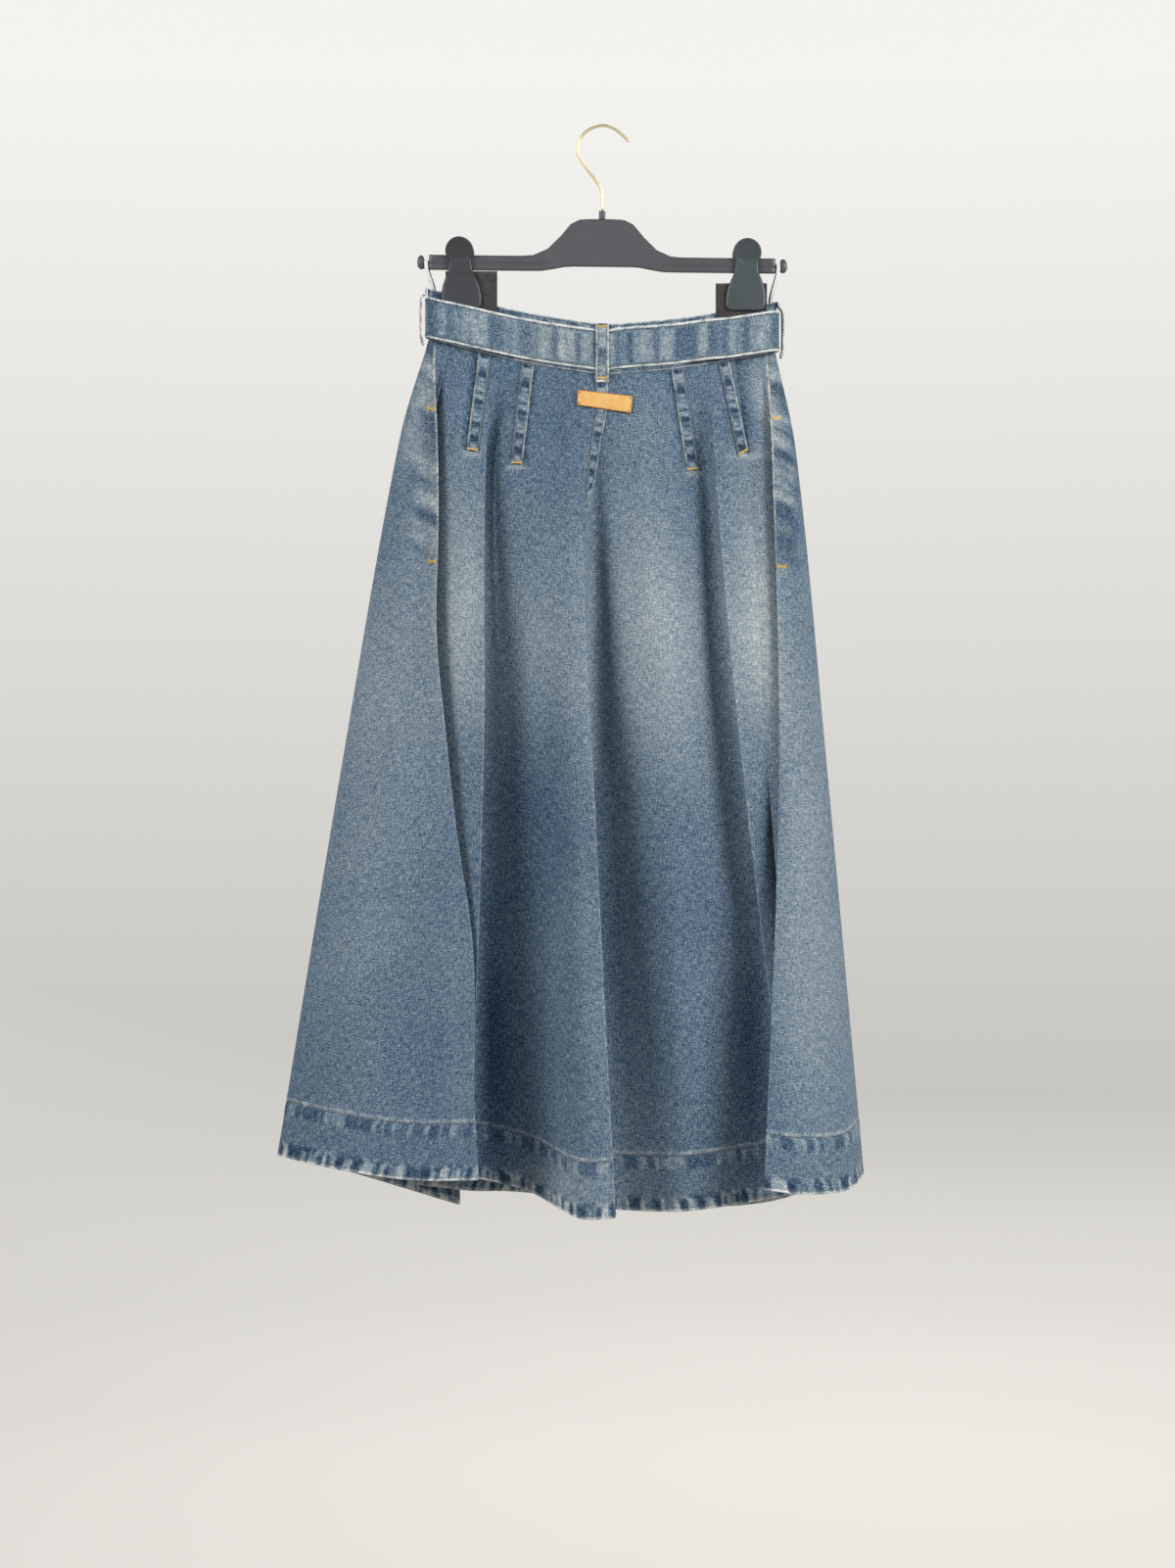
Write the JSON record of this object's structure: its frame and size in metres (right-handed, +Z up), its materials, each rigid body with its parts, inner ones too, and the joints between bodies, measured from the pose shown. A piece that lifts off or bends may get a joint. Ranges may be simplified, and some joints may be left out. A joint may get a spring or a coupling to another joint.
{
  "type": "denim skirt on clip hanger",
  "caption": "Mid-length flared denim skirt with a waistband and its own belt, hung flat by two padded clips from a plastic hanger with a wire hook.",
  "frame": {"origin": "inside top of the hanger's hook, where a rail carries it", "axes": "+Z up, -Y towards the skirt's back, +X towards the wearer's right"},
  "size_m": [0.582, 0.1968, 1.0798],
  "materials": {
    "denim": "washed blue denim, lighter along folds and edges",
    "denim_inside": "dark blue inside of the hem",
    "leather": "bare tan leather, smooth",
    "brass": "polished, pale gold",
    "hanger_plastic": "dark grey, satin",
    "clip_plastic": "charcoal grey, satin",
    "felt": "black felt",
    "ribbon": "woven tape, white outside and black inside"
  },
  "bodies": {
    "root": {"waistband": "denim", "belt": "denim", "loop_back": "denim", "loop_left": "denim", "loop_right": "denim", "loop_front_left": "denim", "loop_front_right": "denim", "back_left": "denim", "back_right": "denim", "front_left": "denim", "front_right": "denim", "back_seam_fell": "denim", "pleat_back_1": "denim", "pleat_back_2": "denim", "pleat_back_3": "denim", "pleat_back_4": "denim", "fly_strip": "denim", "hem_facing_back_left": "denim_inside", "hem_facing_back_right": "denim_inside", "hem_facing_front_left": "denim_inside", "hem_facing_front_right": "denim_inside", "leather_patch": "leather", "hanger_hook": "brass", "buckle_frame": "brass", "buckle_prong": "brass", "waist_button": "brass", "hanger_bar": "hanger_plastic", "hanger_ferrule": "hanger_plastic", "clip_left_near": "clip_plastic", "clip_left_far": "clip_plastic", "clip_right_near": "clip_plastic", "clip_right_far": "clip_plastic", "pad_left": "felt", "pad_right": "felt", "ribbon_left": "ribbon", "ribbon_right": "ribbon"}
  },
  "joints": []
}
